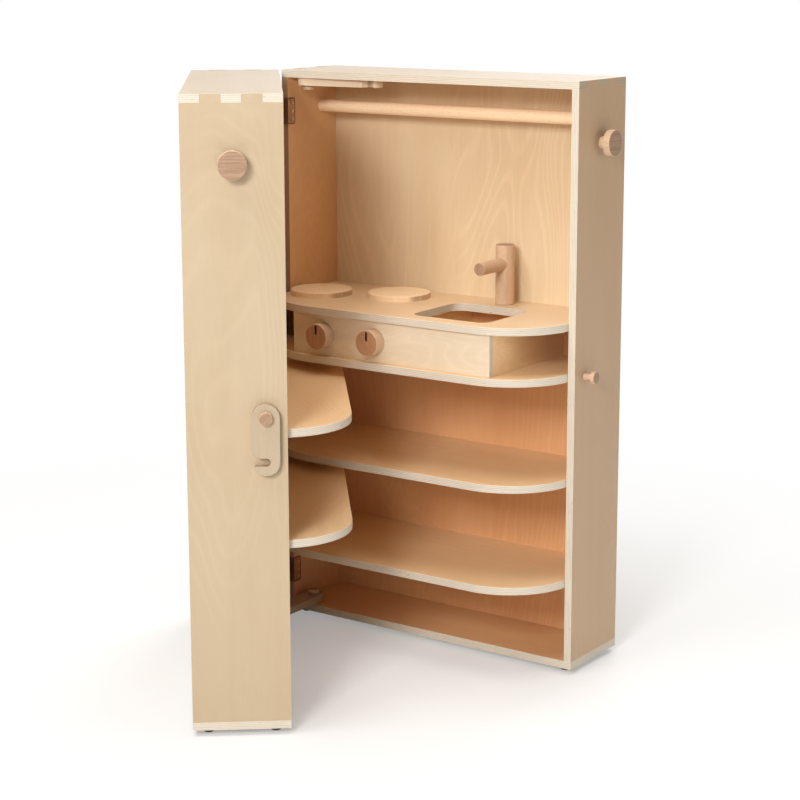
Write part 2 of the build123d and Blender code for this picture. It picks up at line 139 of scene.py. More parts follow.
# Azimuth, elevation, distance and size of each lamp, in degrees and metres, and its colour.
LAMPS = {
    "key": (17.0, 25.0, 3.6, 0.85, COOL),
    "low": (25.0, 10.0, 3.6, 1.0, WARM),
    "high": (-20.0, 55.0, 3.2, 1.4, WHITE),
    "top": (0.0, 85.0, 2.6, 2.0, WARM),
    "rear": (190.0, 45.0, 3.2, 1.6, WHITE),
    "side": (105.0, 8.0, 3.0, 1.5, WHITE),
}
OBJECT_MIDDLE = Vector((0.0, 0.0, 0.45))
FLOOR_RINGS = (0.6, 1.2, 2.4, 5.0, 9.0)
FLOOR_TURNS = 96
FADE_LENGTH = 4.0           # the floor fades to white between 0.1 and 0.4 of this distance
FRAME_PIXELS = 800.0
SENSOR_WIDTH = 36.0
CAMERA_SHIFT = -0.05
CAMERA_OFFSET = Vector((2.040, -2.580, 1.089))  # from the kitchen half's front left bottom corner
CAMERA_ANGLES = (35.04, -11.45, -0.12)          # yaw, pitch and roll, in degrees


class WoodSettings(bpy.types.PropertyGroup):
    """Colours and sizes of the plywood and the turned beech."""

    # Painted shade: the inside veneer is warmer and deeper than the outside veneer of the same plywood,
    # to stand for the warm shade inside the two halves.
    veneer: FloatVectorProperty(
        name="Inside veneer",
        description="Colour of the birch veneer inside the two halves",
        default=(0.80, 0.495, 0.265),
        **COLOUR,
    )
    # Painted light and shade: the kitchen half's back panel is one board, with this paler veneer above
    # the worktop where light falls and the deeper low veneer below it where shade falls.
    back_veneer: FloatVectorProperty(
        name="Back veneer",
        description="Colour of the birch veneer on the back panel, above the worktop",
        default=(0.79, 0.635, 0.425),
        **COLOUR,
    )
    door_veneer: FloatVectorProperty(
        name="Door back veneer",
        description="Colour of the birch veneer on the inside of the door half's back panel",
        default=(0.80, 0.57, 0.345),
        **COLOUR,
    )
    # Painted shade: the back panel's veneer below the worktop, deeper and warmer than above it.
    shaded_low_veneer: FloatVectorProperty(
        name="Low veneer",
        description="Colour of the birch veneer on the back panel, below the worktop",
        default=(0.84, 0.48, 0.245),
        **COLOUR,
    )
    board_veneer: FloatVectorProperty(
        name="Board veneer",
        description="Colour of the birch veneer of the shelves",
        default=(0.93, 0.67, 0.40),
        **COLOUR,
    )
    worktop_veneer: FloatVectorProperty(
        name="Worktop veneer",
        description="Colour of the birch veneer of the worktop",
        default=(0.80, 0.61, 0.40),
        **COLOUR,
    )
    fascia_veneer: FloatVectorProperty(
        name="Fascia veneer",
        description="Colour of the birch veneer of the sink unit's fascia",
        default=(0.78, 0.67, 0.51),
        **COLOUR,
    )
    outer_veneer: FloatVectorProperty(
        name="Outside veneer",
        description="Colour of the birch veneer on the outside of the two halves",
        default=(0.54, 0.427, 0.288),
        **COLOUR,
    )
    # Painted shade: the outside of the kitchen half's latch wall, which lies in shade, is given a darker,
    # deeper veneer than the rest of the outside.
    shaded_side_veneer: FloatVectorProperty(
        name="Latch side veneer",
        description="Colour of the birch veneer on the outside of the kitchen half's latch wall",
        default=(0.575, 0.402, 0.255),
        **COLOUR,
    )
    # Painted light: the top faces are given a paler veneer than the rest of the outside, standing for
    # light from above and the sheen seen across them.
    lit_top_veneer: FloatVectorProperty(
        name="Top veneer",
        description="Colour of the paler birch veneer on top of the two halves",
        default=(0.62, 0.56, 0.485),
        **COLOUR,
    )
    core_light: FloatVectorProperty(
        name="Core, along the grain",
        description="Colour of the plies that show long grain at a board's edge",
        default=(0.675, 0.61, 0.505),
        **COLOUR,
    )
    core_dark: FloatVectorProperty(
        name="Core, end grain",
        description="Colour of the plies that show end grain at a board's edge",
        default=(0.48, 0.39, 0.285),
        **COLOUR,
    )
    # Painted shade: a tint that darkens the ends of the kitchen half's top panel, where they show on its
    # two sides.
    shaded_top_ends: FloatVectorProperty(
        name="Top panel ends",
        description="How much the kitchen half's top panel is darker at its ends, as a tint",
        default=(0.76, 0.68, 0.58),
        **COLOUR,
    )
    # Painted shade: the plies at the edges of the hinge walls, which lie in shade, are darker and warmer
    # than the other edges.
    shaded_core: FloatVectorProperty(
        name="Core at the hinges",
        description="Colour of the plies at the edges of the two hinge walls",
        default=(0.43, 0.28, 0.165),
        **COLOUR,
    )
    beech: FloatVectorProperty(
        name="Beech",
        description="Colour of the grips, the pegs, the knobs and the faucet",
        default=(0.63, 0.435, 0.28),
        **COLOUR,
    )
    # Partly painted light: the rail and the hob discs are a paler beech, and this colour is lightened
    # further to stand in for light that falls weakly inside the kitchen half.
    pale_and_lit_beech: FloatVectorProperty(
        name="Pale beech",
        description="Colour of the hanging rail and the hob discs",
        default=(0.98, 0.74, 0.49),
        **COLOUR,
    )
    bar: FloatVectorProperty(
        name="Bars",
        description="Colour of the latch bar and the stay bars",
        default=(0.465, 0.36, 0.245),
        **COLOUR,
    )
    # Painted light: the top stay bar is the same wood as the bottom one, given a paler colour where light
    # falls on it.
    lit_top_bar: FloatVectorProperty(
        name="Top stay bar",
        description="Colour of the paler stay bar under the top panel",
        default=(0.74, 0.60, 0.43),
        **COLOUR,
    )
    end_grain: FloatVectorProperty(
        name="End grain",
        description="How much end grain darkens the beech, as a tint",
        default=(0.64, 0.585, 0.575),
        **COLOUR,
    )
    knob_end_grain: FloatVectorProperty(
        name="Knob end grain",
        description="How much end grain darkens the faces of the knobs, as a tint",
        default=(0.72, 0.57, 0.475),
        **COLOUR,
    )
    plies: IntProperty(
        name="Plies",
        description="Number of plies in a board",
        min=3,
        max=21,
        default=9,
    )
    arris: FloatProperty(
        name="Arris",
        description="Width of the rounding on a board's edges",
        max=0.003,
        default=0.0006,
        **LENGTH,
    )
    bar_round: FloatProperty(
        name="Bar rounding",
        description="Width of the rounding on the edges of the latch bar and the stay bars",
        max=0.003,
        default=0.0012,
        **LENGTH,
    )
    roughness: FloatProperty(
        name="Lacquer roughness",
        description="Roughness of the lacquer on all the wood",
        default=0.42,
        **SHARE,
    )


class MetalSettings(bpy.types.PropertyGroup):
    """Colours and sizes of the hinges and their screws, and of the feet."""

    bronze: FloatVectorProperty(
        name="Bronze",
        description="Colour of the hinge leaves",
        default=(0.49, 0.29, 0.165),
        **COLOUR,
    )
    # Painted shade: the hinges' edges and knuckles are darker than the leaves' flat faces, standing for
    # the shade they lie in; the pins take this colour too.
    bronze_edge: FloatVectorProperty(
        name="Bronze edges",
        description="Colour of the hinges' edges, knuckles and pins",
        default=(0.27, 0.16, 0.095),
        **COLOUR,
    )
    # Painted shade: a dark line round the flat faces of each hinge leaf, standing for the shadow and gap
    # round it.
    leaf_shade_rim: FloatProperty(
        name="Leaf rim",
        description="Width of the dark line round a hinge leaf",
        max=0.005,
        default=0.0013,
        **LENGTH,
    )
    leaf_shade_rim_colour: FloatVectorProperty(
        name="Leaf rim colour",
        description="Colour of the dark line round a hinge leaf",
        default=(0.07, 0.03, 0.015),
        **COLOUR,
    )
    screw: FloatVectorProperty(
        name="Screws",
        description="Colour of the hinge screws",
        default=(0.62, 0.44, 0.28),
        **COLOUR,
    )
    recess: FloatProperty(
        name="Cross recess",
        description="Depth of the cross recess in a screw head",
        max=0.002,
        default=0.0007,
        **LENGTH,
    )
    foot: FloatVectorProperty(
        name="Feet",
        description="Colour of the round feet",
        default=(0.035, 0.012, 0.006),
        **COLOUR,
    )


class StageSettings(bpy.types.PropertyGroup):
    """The studio: its floor, its lamps and the camera."""

    floor: FloatProperty(
        name="Floor",
        description="Lightness of the floor",
        default=0.86,
        **SHARE,
    )
    ambient: FloatProperty(
        name="Ambient",
        description="Strength of the even light from all round",
        min=0.0,
        max=5.0,
        default=0.14,
    )
    key_power: FloatProperty(
        name="Key lamp",
        description="Power of the soft lamp in front of the kitchen half, in watts",
        default=78.0,
        **WATTS,
    )
    low_power: FloatProperty(
        name="Low lamp",
        description="Power of the lamp just above the camera's height, in watts",
        default=18.0,
        **WATTS,
    )
    high_power: FloatProperty(
        name="High lamp",
        description="Power of the lamp high up at the front left, in watts",
        default=30.0,
        **WATTS,
    )
    top_power: FloatProperty(
        name="Top lamp",
        description="Power of the wide lamp over the object, in watts",
        default=50.0,
        **WATTS,
    )
    rear_power: FloatProperty(
        name="Rear lamp",
        description="Power of the lamp behind the object, in watts",
        default=45.0,
        **WATTS,
    )
    side_power: FloatProperty(
        name="Side lamp",
        description="Power of the lamp at the right, in watts",
        default=12.0,
        **WATTS,
    )
    focal_pixels: FloatProperty(
        name="Focal length",
        description="Focal length of the camera in pixels of an 800 pixel frame",
        min=100.0,
        max=10000.0,
        default=2029.0,
    )


def vertices(node):
    """The vertices of a node of the frame, as one array."""
    mesh = frame["nodes"][node].data
    points = np.empty(len(mesh.vertices) * 3, dtype=np.float32)
    mesh.vertices.foreach_get("co", points)
    return points.reshape(-1, 3)


def low_point(node, axes):
    """The corner of a node's own box, along three square directions, where all three are least."""
    points = vertices(node)
    lows = [float((points @ np.array(axis)).min()) for axis in axes]
    return sum((axis * low for axis, low in zip(axes, lows)), Vector())


def high_point(node, axes):
    """The corner of a node's own box, along three square directions, where all three are greatest."""
    points = vertices(node)
    highs = [float((points @ np.array(axis)).max()) for axis in axes]
    return sum((axis * high for axis, high in zip(axes, highs)), Vector())


class Shader:
    """A material that is put together node by node, with its texture coordinates on the object."""

    def __init__(self, name):
        self.material = bpy.data.materials.new(name)
        self.material.use_nodes = True
        self.tree = self.material.node_tree
        self.tree.nodes.clear()
        self.output = self.tree.nodes.new("ShaderNodeOutputMaterial")
        self.surface = self.tree.nodes.new("ShaderNodeBsdfPrincipled")
        self.tree.links.new(self.surface.outputs[0], self.output.inputs["Surface"])
        self.coordinates = self.tree.nodes.new("ShaderNodeTexCoord")
        self.place = self.coordinates.outputs["Object"]

    def put(self, target, value):
        """Links a socket to the target, or sets the target where the value is a constant."""
        if isinstance(value, bpy.types.NodeSocket):
            self.tree.links.new(value, target)
        else:
            target.default_value = value

    def finish(self, **values):
        """Sets or links inputs of the surface shader by their names, with spaces as underscores."""
        for key, value in values.items():
            self.put(self.surface.inputs[key.replace("_", " ")], value)
        return self.material

    def board_frame(self, origin, across, along, up):
        """Coordinates with their origin on the piece and their axes along three square directions.

        The first axis is turned about where the three would make a mirrored frame.
        """
        if across.cross(along).dot(up) < 0.0:
            across = -across
        turn = Matrix((across, along, up)).transposed()
        node = self.tree.nodes.new("ShaderNodeMapping")
        node.vector_type = "TEXTURE"
        node.inputs["Location"].default_value = origin
        node.inputs["Rotation"].default_value = turn.to_euler()
        self.put(node.inputs["Vector"], self.place)
        return node.outputs[0]

    def facing(self, direction):
        """How squarely the surface faces along a direction of the object, from 0 to 1."""
        node = self.tree.nodes.new("ShaderNodeVectorMath")
        node.operation = "DOT_PRODUCT"
        self.put(node.inputs[0], self.coordinates.outputs["Normal"])
        node.inputs[1].default_value = direction
        return self.math("ABSOLUTE", node.outputs["Value"])

    def faces(self, direction):
        """One where the surface faces along a direction of the object, either way, and zero elsewhere."""
        return self.math("GREATER_THAN", self.facing(direction), FACE_LIMIT)

    def math(self, operation, first, second=0.0):
        """The result of an operation on one or two numbers, by Blender's name for it."""
        node = self.tree.nodes.new("ShaderNodeMath")
        node.operation = operation
        for socket, value in zip(node.inputs, (first, second)):
            self.put(socket, value)
        return node.outputs[0]

    def length(self, vector):
        """The length of a vector."""
        node = self.tree.nodes.new("ShaderNodeVectorMath")
        node.operation = "LENGTH"
        self.put(node.inputs[0], vector)
        return node.outputs["Value"]

    def stretch(self, vector, scales, shift=(0.0, 0.0, 0.0)):
        """Scales coordinates along their three axes, to draw a pattern out along the grain."""
        node = self.tree.nodes.new("ShaderNodeMapping")
        node.inputs["Scale"].default_value = scales
        node.inputs["Location"].default_value = shift
        self.put(node.inputs["Vector"], vector)
        return node.outputs[0]

    def noise(self, vector, scales, shift=(0.0, 0.0, 0.0), detail=2.0, roughness=0.5, distortion=0.0):
        """Soft noise that repeats about once in a unit of the scaled and shifted coordinates."""
        node = self.tree.nodes.new("ShaderNodeTexNoise")
        self.put(node.inputs["Vector"], self.stretch(vector, scales, shift))
        node.inputs["Scale"].default_value = 1.0
        node.inputs["Detail"].default_value = detail
        node.inputs["Roughness"].default_value = roughness
        node.inputs["Distortion"].default_value = distortion
        return node.outputs["Fac"]

    def part(self, vector, index):
        """One coordinate of a vector, by its number."""
        node = self.tree.nodes.new("ShaderNodeSeparateXYZ")
        self.put(node.inputs[0], vector)
        return node.outputs[index]

    def ramp(self, factor, stops, smooth=True):
        """A colour or grey that follows stops, each a position and a colour or grey."""
        node = self.tree.nodes.new("ShaderNodeValToRGB")
        node.color_ramp.interpolation = "EASE" if smooth else "LINEAR"
        elements = node.color_ramp.elements
        while len(elements) < len(stops):
            elements.new(0.5)
        for element, (position, colour) in zip(elements, stops):
            element.position = position
            grey = isinstance(colour, (int, float))
            element.color = (colour, colour, colour, 1.0) if grey else (*colour, 1.0)
        self.put(node.inputs[0], factor)
        return node.outputs[0]

    def mix(self, factor, first, second, blend="MIX"):
        """Mixes two colours, each a socket or a constant of three parts."""
        node = self.tree.nodes.new("ShaderNodeMix")
        node.data_type = "RGBA"
        node.blend_type = blend
        self.put(node.inputs[0], factor)
        for socket, value in ((node.inputs[6], first), (node.inputs[7], second)):
            self.put(socket, value if isinstance(value, bpy.types.NodeSocket) else (*value, 1.0))
        return node.outputs[2]

    def tint(self, colour, tint):
        """A colour multiplied by another."""
        return self.mix(1.0, colour, tint, "MULTIPLY")

    def bump(self, height, distance):
        """Normals that follow a height, at full strength over a distance in metres."""
        node = self.tree.nodes.new("ShaderNodeBump")
        node.inputs["Strength"].default_value = 1.0
        node.inputs["Distance"].default_value = distance
        self.put(node.inputs["Height"], height)
        return node.outputs[0]


def tinted(colour, factor):
    """A colour made lighter or darker, kept between 0 and 1."""
    return tuple(min(1.0, max(0.0, part * factor)) for part in colour)


def seed_of(group, count):
    """The pattern seed of a piece, by its group and its place in the group."""
    first, step = SEEDS[group]
    return first + count * step


def veneer_figure(shader, board, seed, strength):
    """Rotary-cut birch as a tint near white, and its fibre: soft figure, growth lines and streaks.

    The growth lines are contours of a slow noise drawn out along the grain. They are paler than
    the wood and come and go in patches. The strength scales how much each layer darkens.
    """
    drift = (seed * 1.7, seed * 3.1, seed * 0.9)
    slow = shader.noise(board, VENEER_FIGURE, drift, 3.0, 0.5, 0.7)
    contour = shader.math("FRACT", shader.math("MULTIPLY", slow, GROWTH_LINES))
    lines = shader.math("ABSOLUTE", shader.math("SUBTRACT", contour, 0.5))
    patches = shader.noise(board, VENEER_PATCHES, drift[::-1], 1.0)
    hidden = shader.math(
        "MULTIPLY",
        shader.ramp(lines, ((0.0, 1.0), (0.3, 0.0))),
        shader.ramp(patches, ((0.38, 0.0), (0.55, 1.0))),
    )
    streaks = shader.noise(board, VENEER_STREAKS, drift, 3.0, 0.6)
    fibre = shader.noise(board, VENEER_FIBRE, drift, 2.0, 0.6)
    clouds = shader.noise(board, VENEER_CLOUDS, drift)
    tone = WHITE
    for factor, low, high, loss in (
        (slow, 0.3, 0.7, (0.05, 0.065, 0.085)),
        (streaks, 0.25, 0.72, (0.035, 0.055, 0.08)),
        (fibre, 0.3, 0.62, (0.03, 0.045, 0.06)),
        (clouds, 0.7, 0.35, (0.045, 0.09, 0.14)),
        (hidden, 0.0, 1.0, (0.052, 0.058, 0.068)),
    ):
        dark = tuple(1.0 - strength * part for part in loss)
        stops = sorted(((low, dark), (high, WHITE)))
        tone = shader.tint(tone, shader.ramp(factor, stops))
    return tone, fibre


def core_colour(shader, board, plies, thickness, light, dark, seed):
    """The edge of a board: plies in turn of long grain and end grain, with thin glue lines.

    The third coordinate counts the plies through the thickness. Noise drawn out along the edge
    shades each ply, and short dark gaps break the end-grain plies here and there.
    """
    through = shader.part(board, 2)
    turn = shader.math("MULTIPLY", through, plies / thickness)
    ply = shader.math("FRACT", shader.math("MULTIPLY", turn, 0.5))
    stripe = shader.ramp(
        ply,
        ((0.0, 0.55), (0.03, 0.0), (0.47, 0.0), (0.5, 1.0), (0.53, 0.62), (0.97, 0.62), (1.0, 1.0)),
        smooth=False,
    )
    shades = shader.noise(board, PLY_SHADES, (seed, 0.0, 0.0))
    tone = shader.mix(
        shader.math("MULTIPLY", stripe, shader.ramp(shades, ((0.3, 0.55), (0.7, 1.0)))), light, dark
    )
    gaps = shader.noise(board, PLY_GAPS, (0.0, seed * 5.0, 0.0), 1.0)
    hole = shader.math(
        "MULTIPLY",
        shader.ramp(gaps, ((0.73, 0.0), (0.76, 1.0))),
        shader.math("GREATER_THAN", ply, 0.5),
    )
    return shader.mix(hole, tone, GAP_COLOUR)


def plywood(name, node, axes, wood, seed, figure, front, back, low=None, ends=None):
    """Birch plywood for a board. The axes are across the grain, along it and through the board.

    The front veneer lies on the face the third axis points out of, and the back veneer opposite.
    A low veneer, given with its level along the grain, takes the place of the back veneer below it, as
    painted shade.
    The edges of a hinge wall show darker, warmer plies, as painted shade. Where ends are given, that tint
    darkens the edges that the grain runs out at, as painted shade.
    """
    shader = Shader(name)
    origin = low_point(node, axes)
    thickness = (high_point(node, axes) - origin).dot(axes[2])
    board = shader.board_frame(origin, *axes)
    tint, fibre = veneer_figure(shader, board, seed, figure)
    if low is not None:
        colour, level = low
        back = shader.mix(shader.math("GREATER_THAN", shader.part(board, 1), level), colour, back)
    side = shader.math("GREATER_THAN", shader.part(board, 2), thickness / 2)
    face = shader.tint(shader.mix(side, back, front), tint)
    light, dark = tuple(wood.core_light), tuple(wood.core_dark)
    # Painted shade: darker, warmer plies on the edges of the hinge walls.
    if node.endswith("hinge_wall"):
        light, dark = tuple(wood.shaded_core), tinted(wood.shaded_core, 0.86)
    edge = core_colour(shader, board, wood.plies, thickness, light, dark, seed)
    # Painted shade: the ends' tint darkens the edges where the grain runs out.
    if ends is not None:
        edge = shader.mix(shader.faces(axes[1]), edge, shader.tint(edge, ends))
    return lacquered(shader, shader.mix(shader.faces(axes[2]), edge, face), fibre, wood)


def lacquered(shader, colour, fibre, wood):
    """Finishes a wood material with the lacquer that all the wood has."""
    return shader.finish(
        Base_Color=colour,
        Roughness=wood.roughness,
        Specular_IOR_Level=WOOD_SPECULAR,
        Normal=shader.bump(fibre, FIBRE_DEPTH),
    )


def beech(name, wood, node, axes, seed, colour, end_tint, contrast, knob=False):
    """Straight-grained beech. The axes are across the growth rings, along the grain and along the rings.

    The rings lie almost flat, so they show as soft stripes along the grain and as lines on end
    grain, and short dark rays lie along the grain. Painted shade darkens the walls of a knob's pointer
    slot.
    """
    shader = Shader(name)
    low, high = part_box(node)
    axes = tuple(axis.normalized() for axis in axes)
    board = shader.board_frame((Vector(low) + Vector(high)) / 2, *axes)
    drift = (seed * 0.37, seed * 1.3, seed * 0.21)
    rings = shader.noise(board, BEECH_RINGS, drift, 3.0, 0.55, 0.3)
    fibre = shader.noise(board, BEECH_FIBRE, drift, 2.0, 0.6)
    rays = shader.noise(board, BEECH_RAYS, drift, 1.0, 0.4)
    lines = shader.noise(board, BEECH_END_LINES, drift, 1.0)
    ray_tint, line_tint = (
        tuple(1.0 - contrast * loss for loss in losses)
        for losses in ((0.12, 0.18, 0.22), (0.20, 0.24, 0.28))
    )
    tone = shader.mix(
        shader.ramp(rings, ((0.32, 0.0), (0.68, 1.0))),
        tinted(colour, 1.0 - 0.07 * contrast),
        tinted(colour, 1.0 + 0.06 * contrast),
    )
    tone = shader.tint(tone, shader.ramp(fibre, ((0.3, 1.0 - 0.05 * contrast), (0.6, 1.0))))
    tone = shader.tint(tone, shader.ramp(rays, ((0.60, WHITE), (0.68, ray_tint))))
    along = shader.facing(axes[1])
    is_end = shader.ramp(along, ((0.75, 0.0), (0.92, 1.0)))
    is_line = shader.math("MULTIPLY", is_end, shader.ramp(lines, ((0.42, 0.0), (0.58, 1.0))))
    tone = shader.mix(is_line, tone, shader.tint(tone, line_tint))
    tone = shader.tint(tone, shader.ramp(along, ((0.75, WHITE), (0.92, end_tint))))
    # Painted shade: the walls of a knob's pointer slot are darkened.
    if knob:
        from_axis = shader.length(shader.stretch(board, (1.0, 0.0, 1.0)))
        inside = shader.math(
            "MULTIPLY",
            shader.math("LESS_THAN", from_axis, POINTER_REACH),
            shader.math("GREATER_THAN", shader.part(board, 1), POINTER_FACE),
        )
        tone = shader.mix(inside, tone, SLOT_SHADE_COLOUR)
    return lacquered(shader, tone, fibre, wood)


def dress(node, material):
    """Gives a node of the frame one material all over."""
    mesh = frame["nodes"][node].data
    mesh.materials.clear()
    mesh.materials.append(material)


def ease(node, width, segments=2, angle=SHARP_ANGLE):
    """Rounds a node's edges that are sharper than an angle, once its loose triangles are welded.

    At a larger angle the triangles of each flat face are joined too, so that a wide rounding can
    run along it.
    """
    piece = frame["nodes"][node]
    weld = piece.modifiers.new("Weld", "WELD")
    weld.merge_threshold = FLUSH
    if angle > SHARP_ANGLE:
        flat = piece.modifiers.new("Flat faces", "DECIMATE")
        flat.decimate_type = "DISSOLVE"
        flat.angle_limit = math.radians(FLAT_ANGLE)
    bevel = piece.modifiers.new("Arris", "BEVEL")
    bevel.width = width
    bevel.segments = segments
    bevel.limit_method = "ANGLE"
    bevel.angle_limit = math.radians(angle)


class PanelsOperator(bpy.types.Operator):
    """Finishes the top, bottom, back and side panels of both halves in birch plywood."""

    bl_idname = "play_kitchen.panels"
    bl_label = "Panels"

    def execute(self, context):
        wood = context.scene.play_kitchen_wood
        # Painted shade: the inside faces take the warmer, deeper inside veneer.
        shaded_inner, outer, top = tuple(wood.veneer), tuple(wood.outer_veneer), tuple(wood.lit_top_veneer)
        # Painted shade: the back panel takes the low veneer below the worktop's level.
        behind_sink = low_point("worktop", KITCHEN).z - low_point("kitchen_back_panel", KITCHEN).z
        low = (tuple(wood.shaded_low_veneer), behind_sink)
        for side, (width, depth, up) in (("kitchen", KITCHEN), ("door", DOOR)):
            kitchen = side == "kitchen"
            back = (outer, tuple(wood.back_veneer), low) if kitchen else (tuple(wood.door_veneer), outer)
            # Painted shade: the kitchen half's latch wall takes the darker latch side veneer outside.
            latch_side = tuple(wood.shaded_side_veneer) if kitchen else outer
            # Painted shade: the kitchen half's top panel has its ends darkened.
            ends = tuple(wood.shaded_top_ends) if kitchen else None
            panels = {
                # Painted light: the top panel's top face takes the paler top veneer.
                "top_panel": ((depth, width, up), top, shaded_inner, None, ends),
                "bottom_panel": ((depth, width, up), shaded_inner, outer),
                "back_panel": ((width, up, depth), *back),
                "hinge_wall": ((depth, up, width), shaded_inner, outer),
                "latch_wall": ((depth, up, width), latch_side, shaded_inner),
            }
            for count, (panel, (axes, *veneers)) in enumerate(panels.items()):
                node = f"{side}_{panel}"
                seed = seed_of("panels", count) + (0.0 if kitchen else DOOR_SEED_SHIFT)
                figure = BACK_FIGURE if kitchen and panel == "back_panel" else PANEL_FIGURE
                dress(node, plywood(f"birch_{node}", node, axes, wood, seed, figure, *veneers))
                ease(node, wood.arris)
        return {"FINISHED"}


class BoardsOperator(bpy.types.Operator):
    """Finishes the shelves, the worktop and the boards of the sink unit in birch plywood."""

    bl_idname = "play_kitchen.boards"
    bl_label = "Boards"

    def execute(self, context):
        wood = context.scene.play_kitchen_wood
        width, depth, up = KITCHEN
        door_width, door_depth, _ = DOOR
        boards = {
            "kitchen_upper_shelf": (depth, width, up),
            "kitchen_lower_shelf": (depth, width, up),
            "unit_floor_board": (depth, width, up),
            "worktop": (depth, width, up),
            "door_upper_shelf": (door_depth, door_width, up),
            "door_lower_shelf": (door_depth, door_width, up),
            "fascia": (up, width, depth),
            "unit_left_side": (up, depth, width),
            "unit_divider": (up, depth, width),
            "unit_right_side": (up, depth, width),
        }
        special = {"worktop": wood.worktop_veneer, "fascia": wood.fascia_veneer}
        for count, (node, axes) in enumerate(boards.items()):
            veneer = tuple(special.get(node, wood.board_veneer))
            seed = seed_of("boards", count)
            dress(node, plywood(f"birch_{node}", node, axes, wood, seed, BOARD_FIGURE, veneer, veneer))
        for node in ("fascia", "unit_left_side", "unit_divider", "unit_right_side"):
            ease(node, wood.arris)
        return {"FINISHED"}


class TurnedOperator(bpy.types.Operator):
    """Finishes the turned pieces in beech: knobs, grips, pegs, hob discs, faucet, rail and dowels."""

    bl_idname = "play_kitchen.turned"
    bl_label = "Turned pieces"

    def execute(self, context):
        wood = context.scene.play_kitchen_wood
        width, depth, up = KITCHEN
        door_width, door_depth, _ = DOOR
        grains = {
            "left_control_knob": (width, depth, up),
            "right_control_knob": (width + up, depth, up - width),
            "kitchen_grip": (up, width, depth),
            "door_grip": (up, door_width, door_depth),
            "latch_catch_peg": (up, width, depth),
            "latch_pivot_peg": (up - door_depth, door_width, door_depth + up),
            "bottom_stay_peg": (width, up, depth),
            "top_stay_peg": (width, up, depth),
            "left_hob_disc": (depth, width, up),
            "right_hob_disc": (depth, width, up),
            "faucet_post": (width, up, depth),
            "faucet_spout": (width, depth, up),
            "faucet_pin": (width, up, depth),
            "hanging_rail": (up, width, depth),
            "kitchen_board_dowels": (depth, width, up),
            "door_board_dowels": (door_depth, door_width, up),
        }
        for count, (node, axes) in enumerate(grains.items()):
            knob = node.endswith("control_knob")
            # Partly painted light: the rail and the hob discs take the paler beech, lightened for the
            # weak light inside the kitchen half.
            pale = node == "hanging_rail" or node.endswith("hob_disc")
            colour = tuple(wood.pale_and_lit_beech if pale else wood.beech)
            end_tint = tuple(wood.knob_end_grain if knob else wood.end_grain)
            contrast = SOFT_CONTRAST if pale or knob else BEECH_CONTRAST
            seed = seed_of("turned", count)
            dress(node, beech(f"beech_{node}", wood, node, axes, seed, colour, end_tint, contrast, knob))
        return {"FINISHED"}


class BarsOperator(bpy.types.Operator):
    """Finishes the latch bar and the two stay bars in pale smooth wood."""

    bl_idname = "play_kitchen.bars"
    bl_label = "Latch and stay bars"

    def execute(self, context):
        wood = context.scene.play_kitchen_wood
        width, depth, up = KITCHEN
        door_width, door_depth, _ = DOOR
        lengths = {
            "latch_bar": (door_depth, up, door_width),
            "bottom_stay_bar": (width, depth, up),
            "top_stay_bar": (depth, width, up),
        }
        for count, (node, axes) in enumerate(lengths.items()):
            # Painted light: the top stay bar takes its paler colour.
            colour = tuple(wood.lit_top_bar if node == "top_stay_bar" else wood.bar)
            seed = seed_of("bars", count)
            dress(node, beech(f"pale_{node}", wood, node, axes, seed, colour, BAR_END_TINT, BAR_CONTRAST))
            ease(node, wood.bar_round, 3, BAR_SHARP_ANGLE)
        return {"FINISHED"}


def bronzed(name, colour, roughness, seed, leaf=None, axes=None, metal=None):
    """Bronzed steel, a little uneven.

    Where a hinge leaf is given, with its half's axes and the metal settings, its two flat faces
    have a dark rim of painted shade, and its edges and knuckles are darkened with painted shade.
    """
    shader = Shader(name)
    cloud = shader.noise(shader.place, STEEL_CLOUDS, (seed, 0.0, 0.0), 3.0)
    fine = shader.noise(shader.place, STEEL_FINE, (0.0, seed, 0.0))
    tone = shader.mix(
        shader.ramp(cloud, ((0.35, 0.0), (0.75, 1.0))), tinted(colour, 0.92), tinted(colour, 1.08)
    )
    if leaf is not None:
        low, high = low_point(leaf, axes), high_point(leaf, axes)
        board = shader.board_frame((low + high) / 2, *axes)
        shade_rims = [
            shader.math(
                "GREATER_THAN",
                shader.math("ABSOLUTE", shader.part(board, index)),
                (high - low).dot(axes[index]) / 2 - metal.leaf_shade_rim,
            )
            for index in (1, 2)
        ]
        # Painted shade: a dark rim round each flat face of the leaf.
        tone = shader.mix(shader.math("MAXIMUM", *shade_rims), tone, tuple(metal.leaf_shade_rim_colour))
        # Painted shade: the edges and knuckles take the darker edge colour.
        is_flat = shader.math("GREATER_THAN", shader.facing(axes[0]), FLAT_LIMIT)
        tone = shader.mix(is_flat, tuple(metal.bronze_edge), tone)
    return shader.finish(
        Base_Color=tone,
        Metallic=STEEL_METALLIC,
        Roughness=shader.ramp(cloud, ((0.3, roughness + 0.05), (0.7, roughness - 0.05))),
        Normal=shader.bump(fine, STEEL_DEPTH),
    )


